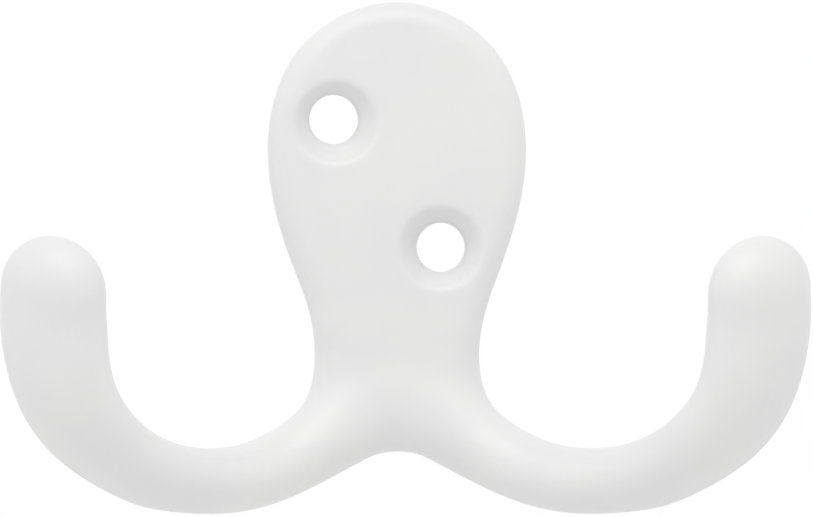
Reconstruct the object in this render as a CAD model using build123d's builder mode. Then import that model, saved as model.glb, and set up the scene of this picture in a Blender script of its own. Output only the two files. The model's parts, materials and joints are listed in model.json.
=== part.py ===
from build123d import *
import os
from math import atan2, cos, degrees, radians, sin, sqrt, tan

os.makedirs("parts", exist_ok=True)

# Frame, in millimetres: X to the right, Z up, and the hook comes forward
# from the wall along -Y. The flat back lies on the wall plane Y = 0 and the
# origin is at the middle of the round head of the plate.

# Back plate
plate_thickness = 5.0
head_width = 22.4
head_rise = 12.9
shoulder_half_width = 8.5
shoulder_z = 8.8
waist_half_width = 9.1
waist_z = -9.8
neck_width = 14.25
neck_z = -17.6
flare_radius = 11.0
flare_turn = 33.0
crown_radius = 150.0
crown_z = -11.0
front_edge_round = 2.0

# Screw holes
hole_diameter = 4.3
countersink_diameter = 7.4
countersink_angle = 90.0
upper_hole_x = -5.5
upper_hole_z = 2.7
lower_hole_x = 3.8
lower_hole_z = -8.4

# Cradles: the round spaces that the arms go under, seen from the front
cradle_x = 16.5
cradle_z = -16.6
cradle_radius = 9.2

# Arms and their thumb-shaped tips
arm_thickness = 5.7
arm_width = 7.0
root_thickness = 7.0
root_angle = 140.0
root_relief = 0.3
tip_thickness = 7.6
tip_width = 10.6
tip_top_z = -7.5
tip_dome = 4.8
tip_lean = 10.0
tip_x = 30.35
tip_lead = 0.6

# Sweep of the arms away from the wall, seen from above
sweep_angle = 42.0
sweep_start_x = 8.6
sweep_blend = 3.2

# Bridge between the arms, across the foot of the plate
bridge_height = 9.2
bridge_width = 5.4
notch_top_z = -26.3

# Sizes worked out from the ones above
sweep_slope = tan(radians(sweep_angle))
lean_slope = tan(radians(tip_lean))
tip_seen = sqrt(
    (tip_thickness * cos(radians(sweep_angle))) ** 2
    + (tip_width * sin(radians(sweep_angle))) ** 2
)
bridge_z = notch_top_z + bridge_height / 2
dome_base_z = tip_top_z - tip_dome * cos(radians(tip_lean))


def ease(fraction):
    """Go smoothly from 0 to 1 while the fraction goes from 0 to 1."""
    bounded = min(max(fraction, 0.0), 1.0)
    return bounded * bounded * (3.0 - 2.0 * bounded)


def arm_depth(x):
    """Depth of the middle of the arm in front of the wall."""
    reach = sqrt((x - sweep_start_x) ** 2 + sweep_blend ** 2)
    start = sqrt(sweep_start_x ** 2 + sweep_blend ** 2)
    return bridge_width / 2 + sweep_slope * (x + reach - start) / 2


def arm_slope(x):
    """Way forward for each millimetre outward along the arm."""
    reach = sqrt((x - sweep_start_x) ** 2 + sweep_blend ** 2)
    return sweep_slope * (1.0 + (x - sweep_start_x) / reach) / 2


def swell(angle):
    """Share of the tip's size that the arm has reached at a cradle angle."""
    return ease((90.0 - angle) / 98.0)


def arm_growth(angle, at_tip):
    """Thickness at an angle below the level of the cradle's centre."""
    root_share = (min(cos(radians(angle)), 0.0) / cos(radians(root_angle))) ** 5
    at_root = (root_thickness - arm_thickness) * root_share
    return arm_thickness + (at_tip - arm_thickness) * swell(angle) + at_root


def cradle_point(angle):
    """Middle of the arm at an angle below the level of the cradle's centre."""
    relief = root_relief * ease((angle - 95.0) / 35.0)
    radius = cradle_radius + relief + arm_growth(angle, tip_seen) / 2
    x = cradle_x + radius * cos(radians(angle))
    z = cradle_z - radius * sin(radians(angle))
    return Vector(x, -arm_depth(x), z)


# Front of the plate: crowned like a large ball above, upright below
with BuildPart() as front:
    with Locations((0, crown_radius - plate_thickness, crown_z)):
        Sphere(radius=crown_radius)
        Cylinder(
            radius=crown_radius,
            height=crown_z - notch_top_z,
            align=(Align.CENTER, Align.CENTER, Align.MAX),
        )

# Plate: a smooth curve over the head to both necks, then out along the cradles
flare_x = neck_width / 2 + flare_radius * (1 - cos(radians(flare_turn)))
flare_z = neck_z - flare_radius * sin(radians(flare_turn))
right_side = [
    (shoulder_half_width, shoulder_z),
    (head_width / 2, 0),
    (waist_half_width, waist_z),
    (neck_width / 2, neck_z),
]
left_side = [(-x, z) for x, z in reversed(right_side)]
with BuildPart() as plate:
    with BuildSketch(Plane.XZ):
        with BuildLine():
            Spline(*left_side, (0, head_rise), *right_side, tangents=[(0, 1), (0, -1)])
            TangentArc((neck_width / 2, neck_z), (flare_x, flare_z), tangent=(0, -1))
            TangentArc((-neck_width / 2, neck_z), (-flare_x, flare_z), tangent=(0, -1))
            Line((flare_x, flare_z), (-flare_x, flare_z))
        make_face()
    extrude(amount=plate_thickness)
    add(front.part, mode=Mode.INTERSECT)
    curved_edges = plate.edges().filter_by(GeomType.BSPLINE)
    fillet(curved_edges.filter_by_position(Axis.Y, -plate_thickness, -1), radius=front_edge_round)

# Middle line of both arms, from the left dome over the bridge to the right one
dome_base_y = cradle_point(0).Y - lean_slope * (dome_base_z - cradle_z)
right_points = [cradle_point(angle) for angle in range(140, -1, -20)]
right_points.append(Vector(tip_x, dome_base_y, dome_base_z))
left_points = [Vector(-point.X, point.Y, point.Z) for point in reversed(right_points)]
with BuildLine() as arm_line:
    Spline(*left_points, (0, -bridge_width / 2, bridge_z), *right_points)

# Ovals along the middle line: place, heading, way across, width, thickness
join_x = cradle_point(root_angle).X
arm_steps = 20
ovals = []
for step in range(arm_steps + 1):
    place = arm_line.line @ (step / arm_steps)
    heading = arm_line.line % (step / arm_steps)
    side = -1.0 if place.X < 0.0 else 1.0
    angle = degrees(atan2(cradle_z - place.Z, abs(place.X) - cradle_x))
    angle = min(angle, root_angle)
    spread = 1.0 - ease(abs(place.X) / join_x)
    width = arm_width + (tip_width - arm_width) * swell(angle)
    width = width + (bridge_width - width) * spread
    thickness = arm_growth(angle, tip_thickness)
    thickness = thickness + (bridge_height - thickness) * spread
    across = Vector(side * arm_slope(abs(place.X)) * (1.0 - spread), 1.0, 0.0)
    ovals.append((place, (heading + Vector(spread, 0, 0)).normalized(), across, width, thickness))

# The last stretch before each dome runs straight, so the dome carries on from it
place, heading, *oval_sizes = ovals[0]
ovals.insert(1, (place + heading * tip_lead, heading, *oval_sizes))
place, heading, *oval_sizes = ovals[-1]
ovals.insert(-1, (place - heading * tip_lead, heading, *oval_sizes))

# Both arms in one tube
sections = []
for place, heading, across, width, thickness in ovals:
    with BuildSketch(Plane(place, x_dir=across, z_dir=heading)) as oval:
        Ellipse(width / 2, thickness / 2)
    sections.append(oval.sketch.face())
with BuildPart() as arms:
    loft(sections=sections)

# Dome of a tip: a quarter oval spun round, then squeezed to the tip's thickness
with BuildPart() as dome:
    with BuildSketch(Plane.XZ):
        with BuildLine():
            EllipticalCenterArc((0, 0), tip_width / 2, tip_dome, start_angle=0, arc_size=90)
            Polyline((0, tip_dome), (0, 0), (tip_width / 2, 0))
        make_face()
    revolve(axis=Axis.Z)
    scale(by=(1, tip_thickness / tip_width, 1))
right_place, right_heading, right_across = ovals[-1][:3]
left_place, left_heading, left_across = ovals[0][:3]

# Whole casting: plate and arms in one, flat at the wall, with the screw holes
with BuildPart() as double_hook:
    add(plate.part)
    add(arms.part)
    with Locations(Plane(right_place, x_dir=right_across, z_dir=right_heading)):
        add(dome.part)
    with Locations(Plane(left_place, x_dir=left_across, z_dir=-left_heading)):
        add(dome.part)
    split(bisect_by=Plane.XZ, keep=Keep.TOP)
    for hole_x, hole_z in ((upper_hole_x, upper_hole_z), (lower_hole_x, lower_hole_z)):
        screw_line = Axis((hole_x, 0, hole_z), (0, -1, 0))
        surface_y = min(point.Y for point, _ in plate.part.find_intersection_points(screw_line))
        with Locations(Plane.XZ.offset(-surface_y)):
            with Locations((hole_x, hole_z)):
                CounterSinkHole(
                    radius=hole_diameter / 2,
                    counter_sink_radius=countersink_diameter / 2,
                    counter_sink_angle=countersink_angle,
                )

double_hook.part.label = "double_hook"
export_step(double_hook.part, "parts/double_hook.step")
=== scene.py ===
"""Looks of a white double hook: one casting, its powder coat and a plain studio."""

from __future__ import annotations

import json
import logging
import math
from dataclasses import dataclass, field
from enum import Enum

import bmesh
import bpy
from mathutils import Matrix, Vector

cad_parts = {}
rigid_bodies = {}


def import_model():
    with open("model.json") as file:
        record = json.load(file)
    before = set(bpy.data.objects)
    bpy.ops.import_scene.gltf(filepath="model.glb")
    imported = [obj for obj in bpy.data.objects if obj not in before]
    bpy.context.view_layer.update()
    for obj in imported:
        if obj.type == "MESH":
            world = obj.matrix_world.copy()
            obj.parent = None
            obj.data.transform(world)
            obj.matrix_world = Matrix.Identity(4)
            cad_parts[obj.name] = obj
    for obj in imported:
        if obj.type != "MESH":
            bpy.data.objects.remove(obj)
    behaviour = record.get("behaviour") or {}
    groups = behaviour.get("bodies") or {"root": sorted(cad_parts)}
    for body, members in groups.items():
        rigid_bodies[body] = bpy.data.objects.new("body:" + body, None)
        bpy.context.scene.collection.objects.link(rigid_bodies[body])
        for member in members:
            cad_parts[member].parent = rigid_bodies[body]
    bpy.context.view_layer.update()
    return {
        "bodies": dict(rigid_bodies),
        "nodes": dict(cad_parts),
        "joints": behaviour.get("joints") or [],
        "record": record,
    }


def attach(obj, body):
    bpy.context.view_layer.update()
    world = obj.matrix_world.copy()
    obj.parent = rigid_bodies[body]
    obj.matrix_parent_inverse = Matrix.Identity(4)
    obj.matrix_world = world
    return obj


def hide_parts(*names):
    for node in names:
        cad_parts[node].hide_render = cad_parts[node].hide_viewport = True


LOG = logging.getLogger("double_hook")
Point = tuple[float, float, float]
MM = 0.001
NODE_STEP = 190
SENSOR_WIDTH = 36.0
WHITE = (1.0, 1.0, 1.0, 1.0)
SOCKETS = {
    float: "NodeSocketFloat",
    int: "NodeSocketInt",
    bpy.types.Material: "NodeSocketMaterial",
}


class Softening(Enum):
    """What the softening tree rounds, with the first word of its inputs."""

    CREASE = "Crease"
    RIM = "Rim"
    TIP = "Tip"


class NodeBench:
    """Places and joins the nodes of one tree."""

    def __init__(self, tree: bpy.types.NodeTree) -> None:
        """Keep the tree that the nodes go into.

        Args:
            tree: Shader or geometry tree to fill.
        """
        self.tree = tree
        self.column = 0

    def add(self, kind: str, **settings: object) -> bpy.types.Node:
        """Add a node and set its plain properties.

        Args:
            kind: Type name of the node.
            settings: Properties of the node and their values.

        Returns:
            The new node.
        """
        node = self.tree.nodes.new(kind)
        node.location = (self.column * NODE_STEP, 0)
        self.column += 1
        for name, value in settings.items():
            setattr(node, name, value)
        return node

    def join(self, source: bpy.types.NodeSocket, target: bpy.types.NodeSocket) -> None:
        """Link one socket to another."""
        self.tree.links.new(source, target)


@dataclass(frozen=True)
class PowderCoat:
    """Satin white powder coat on a zinc casting."""

    name: str = "white_powder_coat"
    colour: Point = (0.84, 0.84, 0.835)
    shade: Point = (0.815, 0.815, 0.815)
    cloud_size: float = 9.0 * MM
    cloud_detail: float = 3.0
    cloud_roughness: float = 0.45
    cloud_share: tuple[float, float] = (0.35, 0.65)
    roughness: float = 0.40
    roughness_spread: float = 0.06
    spot_size: float = 2.6 * MM
    spot_detail: float = 4.0
    spot_share: tuple[float, float] = (0.25, 0.75)
    peel_size: float = 0.9 * MM
    peel_detail: float = 1.5
    peel_depth: float = 0.012 * MM
    grain_size: float = 0.16 * MM
    grain_detail: float = 2.0
    grain_depth: float = 0.0025 * MM
    specular_level: float = 0.5
    gloss_weight: float = 0.12
    gloss_roughness: float = 0.30

    def material(self) -> bpy.types.Material:
        """Build the coat's shader.

        Returns:
            A material with a flowing tone, an orange peel and a fine grain.
        """
        material = bpy.data.materials.new(self.name)
        material.use_nodes = True
        material.node_tree.nodes.clear()
        bench = NodeBench(material.node_tree)
        place = bench.add("ShaderNodeTexCoord").outputs["Object"]
        shader = bench.add("ShaderNodeBsdfPrincipled")
        shader.inputs["Specular IOR Level"].default_value = self.specular_level
        shader.inputs["Coat Weight"].default_value = self.gloss_weight
        shader.inputs["Coat Roughness"].default_value = self.gloss_roughness
        bench.join(self._tone(bench, place), shader.inputs["Base Color"])
        bench.join(self._gloss(bench, place), shader.inputs["Roughness"])
        bench.join(self._surface(bench, place), shader.inputs["Normal"])
        output = bench.add("ShaderNodeOutputMaterial")
        bench.join(shader.outputs["BSDF"], output.inputs["Surface"])
        return material

    def _tone(self, bench: NodeBench, place: bpy.types.NodeSocket) -> bpy.types.NodeSocket:
        """Colour that drifts a little where the coat is thicker.

        Args:
            bench: Bench of the shader tree.
            place: Object coordinates.

        Returns:
            The colour socket.
        """
        cloud = self._noise(bench, place, self.cloud_size, self.cloud_detail)
        cloud.inputs["Roughness"].default_value = self.cloud_roughness
        ramp = bench.add("ShaderNodeValToRGB")
        stops = zip(ramp.color_ramp.elements, self.cloud_share, (self.shade, self.colour))
        for stop, share, colour in stops:
            stop.position = share
            stop.color = (*colour, 1.0)
        bench.join(cloud.outputs["Fac"], ramp.inputs["Fac"])
        return ramp.outputs["Color"]

    def _gloss(self, bench: NodeBench, place: bpy.types.NodeSocket) -> bpy.types.NodeSocket:
        """Roughness that varies from spot to spot.

        Args:
            bench: Bench of the shader tree.
            place: Object coordinates.

        Returns:
            The roughness socket.
        """
        spots = self._noise(bench, place, self.spot_size, self.spot_detail)
        spread = bench.add("ShaderNodeMapRange")
        spread.inputs["From Min"].default_value = self.spot_share[0]
        spread.inputs["From Max"].default_value = self.spot_share[1]
        spread.inputs["To Min"].default_value = self.roughness - self.roughness_spread
        spread.inputs["To Max"].default_value = self.roughness + self.roughness_spread
        bench.join(spots.outputs["Fac"], spread.inputs["Value"])
        return spread.outputs["Result"]

    def _surface(self, bench: NodeBench, place: bpy.types.NodeSocket) -> bpy.types.NodeSocket:
        """Orange peel of the cured coat with the fine grain of the powder on it.

        Args:
            bench: Bench of the shader tree.
            place: Object coordinates.

        Returns:
            The normal socket.
        """
        peel = self._noise(bench, place, self.peel_size, self.peel_detail)
        waves = self._relief(bench, peel, self.peel_depth)
        powder = self._noise(bench, place, self.grain_size, self.grain_detail)
        grain = self._relief(bench, powder, self.grain_depth)
        bench.join(waves.outputs["Normal"], grain.inputs["Normal"])
        return grain.outputs["Normal"]

    def _noise(
        self, bench: NodeBench, place: bpy.types.NodeSocket, size: float, detail: float
    ) -> bpy.types.Node:
        """Solid noise of one size.

        Args:
            bench: Bench of the shader tree.
            place: Object coordinates.
            size: Size of a lump of the noise, in metres.
            detail: Finer layers on top of the lumps.

        Returns:
            The noise node.
        """
        noise = bench.add("ShaderNodeTexNoise", noise_dimensions="3D")
        noise.inputs["Scale"].default_value = 1.0 / size
        noise.inputs["Detail"].default_value = detail
        bench.join(place, noise.inputs["Vector"])
        return noise

    def _relief(self, bench: NodeBench, noise: bpy.types.Node, depth: float) -> bpy.types.Node:
        """Turn a noise into a low relief.

        Args:
            bench: Bench of the shader tree.
            noise: Noise that gives the height.
            depth: Depth of the relief, in metres.

        Returns:
            The bump node.
        """
        relief = bench.add("ShaderNodeBump")
        relief.inputs["Strength"].default_value = 1.0
        relief.inputs["Distance"].default_value = depth
        bench.join(noise.outputs["Fac"], relief.inputs["Height"])
        return relief


@dataclass
class Casting:
    """The one casting: plate, bridge, arms and tips under their coat."""

    node: str = "double_hook"
    body: str = "root"
    slot: str = "white_coating"
    merge_distance: float = 0.0002 * MM
    voxel: float = 0.14 * MM
    crease_angle: float = math.radians(12.0)
    crease_reach: float = 5.0 * MM
    crease_top: float = -14.5 * MM
    crease_steps: int = 300
    rim_angle: float = math.radians(25.0)
    rim_reach: float = 0.9 * MM
    # Above the whole casting, so that every rim is picked
    rim_top: float = 100.0 * MM
    rim_steps: int = 14
    tip_level: float = -12.6 * MM
    tip_reach: float = 2.6 * MM
    tip_inside: float = 20.0 * MM
    tip_steps: int = 40
    faces_kept: float = 0.34
    coat: PowderCoat = field(default_factory=PowderCoat)

    def build(self, frame: dict) -> bpy.types.Object:
        """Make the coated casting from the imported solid.


        Returns:
            The finished piece.
        """
        solid = self._merged_copy(frame["nodes"][self.node])
        body = self._evenly_meshed(solid)
        body.data.materials.clear()
        piece = self._softened(body, solid)
        for scrap in (solid, body):
            bpy.data.objects.remove(scrap)
        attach(piece, self.body)
        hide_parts(self.node)
        LOG.info("%s: %d faces", piece.name, len(piece.data.polygons))
        return piece

    def _merged_copy(self, node: bpy.types.Object) -> bpy.types.Object:
        """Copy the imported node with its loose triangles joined.

        Args:
            node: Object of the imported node.

        Returns:
            A closed copy in the scene.
        """
        mesh = node.data.copy()
        shell = bmesh.new()
        shell.from_mesh(mesh)
        bmesh.ops.remove_doubles(shell, verts=shell.verts, dist=self.merge_distance)
        bmesh.ops.recalc_face_normals(shell, faces=shell.faces)
        shell.to_mesh(mesh)
        shell.free()
        copy = bpy.data.objects.new("solid_copy", mesh)
        bpy.context.scene.collection.objects.link(copy)
        return copy

    def _evenly_meshed(self, solid: bpy.types.Object) -> bpy.types.Object:
        """Cover the solid with a fine even mesh.

        Args:
            solid: Closed copy of the solid.

        Returns:
            The evenly meshed body.
        """
        body = bpy.data.objects.new("even_body", solid.data.copy())
        bpy.context.scene.collection.objects.link(body)
        remesh = body.modifiers.new("even", "REMESH")
        remesh.mode = "VOXEL"
        remesh.voxel_size = self.voxel
        body.data = evaluated_mesh(body)
        body.modifiers.clear()
        return body

    def _softened(self, body: bpy.types.Object, solid: bpy.types.Object) -> bpy.types.Object:
        """Run the softening tree, thin the mesh and keep the result.

        Args:
            body: Evenly meshed body.
            solid: Copy of the solid whose edges say where to soften.

        Returns:
            The finished mesh in its own object.
        """
        values = self._tree_inputs()
        tree = self._softening_tree(solid, values)
        soften = body.modifiers.new("soften", "NODES")
        soften.node_group = tree
        for item in tree.interface.items_tree:
            if item.name in values:
                soften[item.identifier] = values[item.name]
        thin = body.modifiers.new("thin", "DECIMATE")
        thin.ratio = self.faces_kept
        mesh = evaluated_mesh(body)
        mesh.shade_smooth()
        piece = bpy.data.objects.new("coated_casting", mesh)
        bpy.context.scene.collection.objects.link(piece)
        return piece

    def _tree_inputs(self) -> dict[str, object]:
        """Named inputs of the softening tree.

        Returns:
            The value of each input by its name.
        """
        return {
            "Crease Angle": self.crease_angle,
            "Crease Reach": self.crease_reach,
            "Crease Top": self.crease_top,
            "Crease Steps": self.crease_steps,
            "Rim Angle": self.rim_angle,
            "Rim Reach": self.rim_reach,
            "Rim Top": self.rim_top,
            "Rim Steps": self.rim_steps,
            "Tip Level": self.tip_level,
            "Tip Reach": self.tip_reach,
            "Tip Inside": self.tip_inside,
            "Tip Steps": self.tip_steps,
            "Coat": self.coat.material(),
        }

    def _softening_tree(
        self, solid: bpy.types.Object, values: dict[str, object]
    ) -> bpy.types.NodeTree:
        """Geometry tree that rounds creases widely, rims narrowly and evens the tips.

        Args:
            solid: Copy of the solid whose edges say where to soften.
            values: Value of each named input, which gives the input its kind.

        Returns:
            The node tree with its sizes as named inputs.
        """
        tree = bpy.data.node_groups.new("soften_casting", "GeometryNodeTree")
        rack = tree.interface
        rack.new_socket("Geometry", in_out="INPUT", socket_type="NodeSocketGeometry")
        for name, value in values.items():
            rack.new_socket(name, in_out="INPUT", socket_type=SOCKETS[type(value)])
        rack.new_socket("Geometry", in_out="OUTPUT", socket_type="NodeSocketGeometry")
        bench = NodeBench(tree)
        given = bench.add("NodeGroupInput")
        source = bench.add("GeometryNodeObjectInfo", transform_space="ORIGINAL")
        source.inputs["Object"].default_value = solid
        flow = given.outputs["Geometry"]
        for kind in (Softening.CREASE, Softening.RIM):
            share = self._edge_share(bench, given, source, kind)
            flow = self._blurred(bench, given, flow, share, kind)
        share = self._tip_share(bench, given)
        flow = self._blurred(bench, given, flow, share, Softening.TIP)
        realize = bench.add("GeometryNodeRealizeInstances")
        bench.join(flow, realize.inputs["Geometry"])
        coated = bench.add("GeometryNodeSetMaterial")
        bench.join(realize.outputs["Geometry"], coated.inputs["Geometry"])
        bench.join(given.outputs["Coat"], coated.inputs["Material"])
        result = bench.add("NodeGroupOutput")
        bench.join(coated.outputs["Geometry"], result.inputs["Geometry"])
        return tree

    def _edge_share(
        self,
        bench: NodeBench,
        given: bpy.types.Node,
        source: bpy.types.Node,
        kind: Softening,
    ) -> bpy.types.NodeSocket:
        """Share of the blur near one kind of edge of the solid.

        Args:
            bench: Bench of the geometry tree.
            given: Group input with the sizes.
            source: Node that brings in the solid.
            kind: Creases between arms and plate, or rims of holes and plate.

        Returns:
            A number from 1 at the edge to 0 at its reach.
        """
        angle = bench.add("GeometryNodeInputMeshEdgeAngle")
        turned = bench.add("ShaderNodeMath", operation="MULTIPLY")
        # A concave edge has a negative angle
        turned.inputs[1].default_value = -1.0 if kind is Softening.CREASE else 1.0
        bench.join(angle.outputs["Signed Angle"], turned.inputs[0])
        sharp = bench.add("FunctionNodeCompare", data_type="FLOAT", operation="GREATER_THAN")
        bench.join(turned.outputs[0], sharp.inputs[0])
        bench.join(given.outputs[f"{kind.value} Angle"], sharp.inputs[1])
        middle = bench.add("GeometryNodeInputPosition")
        height = bench.add("ShaderNodeSeparateXYZ")
        bench.join(middle.outputs["Position"], height.inputs["Vector"])
        low = bench.add("FunctionNodeCompare", data_type="FLOAT", operation="LESS_THAN")
        bench.join(height.outputs["Z"], low.inputs[0])
        bench.join(given.outputs[f"{kind.value} Top"], low.inputs[1])
        both = bench.add("FunctionNodeBooleanMath", operation="AND")
        bench.join(sharp.outputs["Result"], both.inputs[0])
        bench.join(low.outputs["Result"], both.inputs[1])
        picked = bench.add("GeometryNodeSeparateGeometry", domain="EDGE")
        bench.join(source.outputs["Geometry"], picked.inputs["Geometry"])
        bench.join(both.outputs["Boolean"], picked.inputs["Selection"])
        near = bench.add("GeometryNodeProximity", target_element="EDGES")
        bench.join(picked.outputs["Selection"], near.inputs[0])
        return self._fade(bench, given, near.outputs["Distance"], kind)

    def _tip_share(self, bench: NodeBench, given: bpy.types.Node) -> bpy.types.NodeSocket:
        """Share of the blur around the foot of each tip's dome.

        Args:
            bench: Bench of the geometry tree.
            given: Group input with the sizes.

        Returns:
            A number from 1 at the foot of the dome to 0 at its reach, 0 between the arms.
        """
        spot = bench.add("GeometryNodeInputPosition")
        split = bench.add("ShaderNodeSeparateXYZ")
        bench.join(spot.outputs["Position"], split.inputs["Vector"])
        above = bench.add("ShaderNodeMath", operation="SUBTRACT")
        bench.join(split.outputs["Z"], above.inputs[0])
        bench.join(given.outputs["Tip Level"], above.inputs[1])
        away = bench.add("ShaderNodeMath", operation="ABSOLUTE")
        bench.join(above.outputs[0], away.inputs[0])
        aside = bench.add("ShaderNodeMath", operation="ABSOLUTE")
        bench.join(split.outputs["X"], aside.inputs[0])
        outside = bench.add("ShaderNodeMath", operation="GREATER_THAN")
        bench.join(aside.outputs[0], outside.inputs[0])
        bench.join(given.outputs["Tip Inside"], outside.inputs[1])
        share = bench.add("ShaderNodeMath", operation="MULTIPLY")
        bench.join(outside.outputs[0], share.inputs[0])
        bench.join(self._fade(bench, given, away.outputs[0], Softening.TIP), share.inputs[1])
        return share.outputs[0]

    def _fade(
        self,
        bench: NodeBench,
        given: bpy.types.Node,
        distance: bpy.types.NodeSocket,
        kind: Softening,
    ) -> bpy.types.NodeSocket:
        """Fall smoothly from 1 at no distance to 0 at the reach.

        Args:
            bench: Bench of the geometry tree.
            given: Group input with the sizes.
            distance: Distance of each point.
            kind: What is softened.

        Returns:
            The share of each point.
        """
        fade = bench.add("ShaderNodeMapRange", interpolation_type="SMOOTHSTEP")
        fade.inputs["To Min"].default_value = 1.0
        fade.inputs["To Max"].default_value = 0.0
        bench.join(distance, fade.inputs["Value"])
        bench.join(given.outputs[f"{kind.value} Reach"], fade.inputs["From Max"])
        return fade.outputs["Result"]

    def _blurred(
        self,
        bench: NodeBench,
        given: bpy.types.Node,
        flow: bpy.types.NodeSocket,
        share: bpy.types.NodeSocket,
        kind: Softening,
    ) -> bpy.types.NodeSocket:
        """Blur the surface by the share of each point.

        Args:
            bench: Bench of the geometry tree.
            given: Group input with the sizes.
            flow: Geometry to soften.
            share: How far each point takes part, from 0 to 1.
            kind: What is softened.

        Returns:
            The softened geometry.
        """
        spot = bench.add("GeometryNodeInputPosition")
        blur = bench.add("GeometryNodeBlurAttribute", data_type="FLOAT_VECTOR")
        bench.join(spot.outputs["Position"], blur.inputs["Value"])
        bench.join(given.outputs[f"{kind.value} Steps"], blur.inputs["Iterations"])
        bench.join(share, blur.inputs["Weight"])
        move = bench.add("GeometryNodeSetPosition")
        bench.join(flow, move.inputs["Geometry"])
        bench.join(blur.outputs["Value"], move.inputs["Position"])
        return move.outputs["Geometry"]


@dataclass
class Studio:
    """Pale floor, white surroundings, one soft lamp and the camera."""

    target: Point = (0.0, -0.012, -0.00937)
    turn: float = math.radians(-2.3)
    sideways: float = 0.42 * MM
    distance: float = 1.9
    view_width: float = 70.26 * MM
    tent_low: float = 0.30
    tent_high: float = 0.665
    tent_sides: float = 0.58
    lamp_place: Point = (-0.10, -0.55, 0.80)
    lamp_size: float = 0.9
    lamp_power: float = 3.55
    floor_z: float = -0.075
    floor_size: float = 0.9
    floor_colour: Point = (0.86, 0.86, 0.86)
    floor_roughness: float = 0.9

    def build(self) -> None:
        """Set up the floor, the surroundings, the lamp and the camera."""
        self._floor()
        self._world()
        self._lamp()
        self._camera()
        LOG.info("studio is set")

    def _floor(self) -> None:
        """Lay a large pale floor below the hook."""
        mesh = bpy.data.meshes.new("pale_floor")
        shell = bmesh.new()
        bmesh.ops.create_grid(shell, x_segments=8, y_segments=8, size=self.floor_size)
        shell.to_mesh(mesh)
        shell.free()
        floor = bpy.data.objects.new("pale_floor", mesh)
        floor.location = (0.0, 0.0, self.floor_z)
        bpy.context.scene.collection.objects.link(floor)
        material = bpy.data.materials.new("pale_floor")
        material.use_nodes = True
        shader = material.node_tree.nodes["Principled BSDF"]
        shader.inputs["Base Color"].default_value = (*self.floor_colour, 1.0)
        shader.inputs["Roughness"].default_value = self.floor_roughness
        mesh.materials.append(material)

    def _world(self) -> None:
        """Light the hook as in a white tent: brighter above and at both sides."""
        world = bpy.data.worlds.new("studio")
        bpy.context.scene.world = world
        world.use_nodes = True
        world.node_tree.nodes.clear()
        bench = NodeBench(world.node_tree)
        way = bench.add("ShaderNodeTexCoord")
        split = bench.add("ShaderNodeSeparateXYZ")
        bench.join(way.outputs["Generated"], split.inputs["Vector"])
        height = bench.add("ShaderNodeMapRange")
        height.inputs["From Min"].default_value = -1.0
        height.inputs["From Max"].default_value = 1.0
        height.inputs["To Min"].default_value = self.tent_low
        height.inputs["To Max"].default_value = self.tent_high
        bench.join(split.outputs["Z"], height.inputs["Value"])
        aside = bench.add("ShaderNodeMath", operation="MULTIPLY")
        bench.join(split.outputs["X"], aside.inputs[0])
        bench.join(split.outputs["X"], aside.inputs[1])
        level = bench.add("ShaderNodeMath", operation="MULTIPLY_ADD")
        level.inputs[1].default_value = self.tent_sides
        bench.join(aside.outputs[0], level.inputs[0])
        bench.join(height.outputs["Result"], level.inputs[2])
        light = bench.add("ShaderNodeBackground")
        bench.join(level.outputs[0], light.inputs["Strength"])
        white = bench.add("ShaderNodeBackground")
        for surround in (light, white):
            surround.inputs["Color"].default_value = WHITE
        rays = bench.add("ShaderNodeLightPath")
        seen = rays.outputs["Is Camera Ray"]
        for kind in ("Is Glossy Ray", "Is Transmission Ray"):
            either = bench.add("ShaderNodeMath", operation="MAXIMUM")
            bench.join(seen, either.inputs[0])
            bench.join(rays.outputs[kind], either.inputs[1])
            seen = either.outputs[0]
        mix = bench.add("ShaderNodeMixShader")
        bench.join(seen, mix.inputs["Fac"])
        bench.join(light.outputs["Background"], mix.inputs[1])
        bench.join(white.outputs["Background"], mix.inputs[2])
        output = bench.add("ShaderNodeOutputWorld")
        bench.join(mix.outputs["Shader"], output.inputs["Surface"])

    def _lamp(self) -> None:
        """Hang a square soft lamp that faces the hook from above and in front."""
        data = bpy.data.lights.new("key_light", "AREA")
        data.shape = "SQUARE"
        data.size = self.lamp_size
        data.energy = self.lamp_power
        lamp = bpy.data.objects.new("key_light", data)
        lamp.location = self.lamp_place
        aim = Vector(self.target) - Vector(self.lamp_place)
        lamp.rotation_euler = aim.to_track_quat("-Z", "Y").to_euler()
        bpy.context.scene.collection.objects.link(lamp)

    def _camera(self) -> None:
        """Stand the camera far in front, a little to the left, at the hook's height."""
        data = bpy.data.cameras.new("camera")
        data.sensor_width = SENSOR_WIDTH
        data.lens = SENSOR_WIDTH * self.distance / self.view_width
        data.clip_start = 0.1
        data.clip_end = 20.0
        camera = bpy.data.objects.new("camera", data)
        right = Vector((math.cos(self.turn), math.sin(self.turn), 0.0))
        back = Vector((math.sin(self.turn), -math.cos(self.turn), 0.0))
        camera.location = Vector(self.target) + right * self.sideways + back * self.distance
        camera.rotation_euler = (math.radians(90.0), 0.0, self.turn)
        bpy.context.scene.collection.objects.link(camera)
        bpy.context.scene.camera = camera


def evaluated_mesh(thing: bpy.types.Object) -> bpy.types.Mesh:
    """Turn an object with its modifiers into a plain mesh.

    Args:
        thing: Object with live modifiers.

    Returns:
        The mesh that the modifiers give.
    """
    depsgraph = bpy.context.evaluated_depsgraph_get()
    return bpy.data.meshes.new_from_object(thing.evaluated_get(depsgraph))


def main() -> None:
    """Build the hook and its studio."""
    logging.basicConfig(level=logging.INFO, format="%(name)s: %(message)s")
    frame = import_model()
    Casting().build(frame)
    Studio().build()
    bpy.context.scene.view_settings.view_transform = "Standard"


if __name__ == "__main__":
    main()
